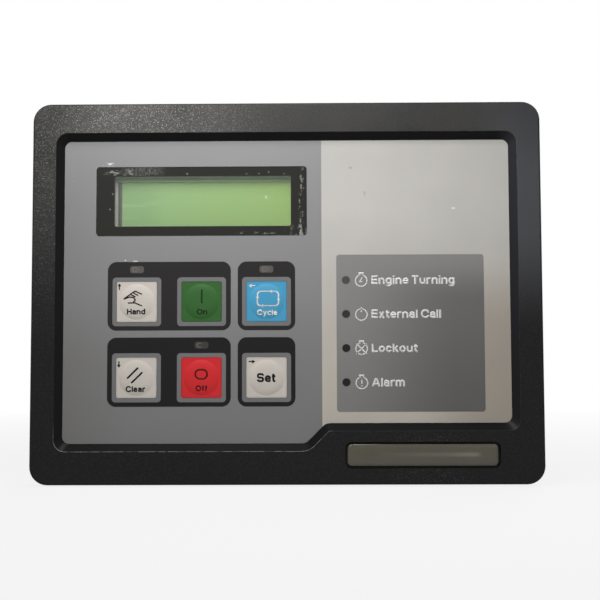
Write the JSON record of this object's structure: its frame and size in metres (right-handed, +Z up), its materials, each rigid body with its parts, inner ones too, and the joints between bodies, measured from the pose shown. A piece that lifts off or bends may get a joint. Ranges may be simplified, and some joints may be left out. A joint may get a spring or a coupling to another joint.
{
  "type": "genset controller",
  "caption": "Panel-mount generator controller: recessed membrane keypad, green character display, status lamps, domed badge and a stepped rear cover with wiring headers.",
  "frame": {"origin": "centre of the fixing pattern, on the plane where the bezel seats on the panel", "axes": "+X to the operator's right, +Z up, +Y through the panel away from the operator, so the face looks along -Y"},
  "size_m": [0.2, 0.052, 0.15],
  "materials": {
    "bezel_black": "fine moulded texture",
    "overlay_film": "printed film",
    "spacer_film": "film",
    "circuit_film": "film",
    "key_white": "printed film",
    "key_green": "printed film",
    "key_blue": "printed film",
    "key_red": "printed film",
    "dome_steel": "spring steel",
    "lens_clear": "clear with a printed border",
    "frame_black": "satin",
    "display_green": "matt polariser",
    "backlight_white": "satin",
    "board_green": "solder resist",
    "nylon_white": "moulded",
    "header_black": "moulded",
    "contact_gold": "plated",
    "led_key": "diffused",
    "led_status": "diffused",
    "badge_resin": "domed resin",
    "steel_screw": "zinc plated",
    "connector_ivory": "moulded",
    "chip_black": "moulded",
    "relay_blue": "moulded",
    "capacitor_sleeve": "sleeved",
    "ferrite": "ferrite",
    "transformer_black": "potted",
    "header_green": "moulded",
    "cover_black": "moulded",
    "gasket_rubber": "closed-cell",
    "insert_brass": "knurled"
  },
  "bodies": {
    "controller": {"front_housing": "bezel_black", "graphic_overlay": "overlay_film", "dome_spacer": "spacer_film", "keypad_circuit": "circuit_film", "manual_snap_dome": "dome_steel", "start_snap_dome": "dome_steel", "auto_snap_dome": "dome_steel", "reset_snap_dome": "dome_steel", "stop_snap_dome": "dome_steel", "ok_snap_dome": "dome_steel", "display_lens": "lens_clear", "lcd_frame": "frame_black", "lcd_glass": "display_green", "lcd_backlight": "backlight_white", "lcd_board": "board_green", "lcd_standoffs": "nylon_white", "lcd_header": "header_black", "lcd_pins": "contact_gold", "key_leds": "led_key", "key_led_spacers": "nylon_white", "status_leds": "led_status", "status_led_spacers": "nylon_white", "name_badge": "badge_resin", "main_board": "board_green", "board_screws": "steel_screw", "tail_connector": "connector_ivory", "microcontroller": "chip_black", "relays": "relay_blue", "capacitors": "capacitor_sleeve", "power_inductor": "ferrite", "sensing_transformers": "transformer_black", "input_header": "header_green", "input_pins": "contact_gold", "output_header": "header_green", "output_pins": "contact_gold", "sensing_header": "header_green", "sensing_pins": "contact_gold", "harness_header": "header_black", "harness_pins": "contact_gold", "rear_cover": "cover_black", "cover_screws": "steel_screw", "panel_gasket": "gasket_rubber", "panel_inserts": "insert_brass"},
    "manual_key": {"manual_key": "key_white"},
    "start_key": {"start_key": "key_green"},
    "auto_key": {"auto_key": "key_blue"},
    "reset_key": {"reset_key": "key_white"},
    "stop_key": {"stop_key": "key_red"},
    "ok_key": {"ok_key": "key_white"}
  },
  "joints": [
    {"name": "manual_press", "type": "slide", "parent": "controller", "child": "manual_key", "axis": [0, 1, 0], "range_m": [0, 0.0005], "stiffness_N_per_m": 2000, "springref_m": -0.001, "deforming": ["manual_snap_dome"]},
    {"name": "start_press", "type": "slide", "parent": "controller", "child": "start_key", "axis": [0, 1, 0], "range_m": [0, 0.0005], "stiffness_N_per_m": 2000, "springref_m": -0.001, "deforming": ["start_snap_dome"]},
    {"name": "auto_press", "type": "slide", "parent": "controller", "child": "auto_key", "axis": [0, 1, 0], "range_m": [0, 0.0005], "stiffness_N_per_m": 2000, "springref_m": -0.001, "deforming": ["auto_snap_dome"]},
    {"name": "reset_press", "type": "slide", "parent": "controller", "child": "reset_key", "axis": [0, 1, 0], "range_m": [0, 0.0005], "stiffness_N_per_m": 2000, "springref_m": -0.001, "deforming": ["reset_snap_dome"]},
    {"name": "stop_press", "type": "slide", "parent": "controller", "child": "stop_key", "axis": [0, 1, 0], "range_m": [0, 0.0005], "stiffness_N_per_m": 2000, "springref_m": -0.001, "deforming": ["stop_snap_dome"]},
    {"name": "ok_press", "type": "slide", "parent": "controller", "child": "ok_key", "axis": [0, 1, 0], "range_m": [0, 0.0005], "stiffness_N_per_m": 2000, "springref_m": -0.001, "deforming": ["ok_snap_dome"]}
  ]
}
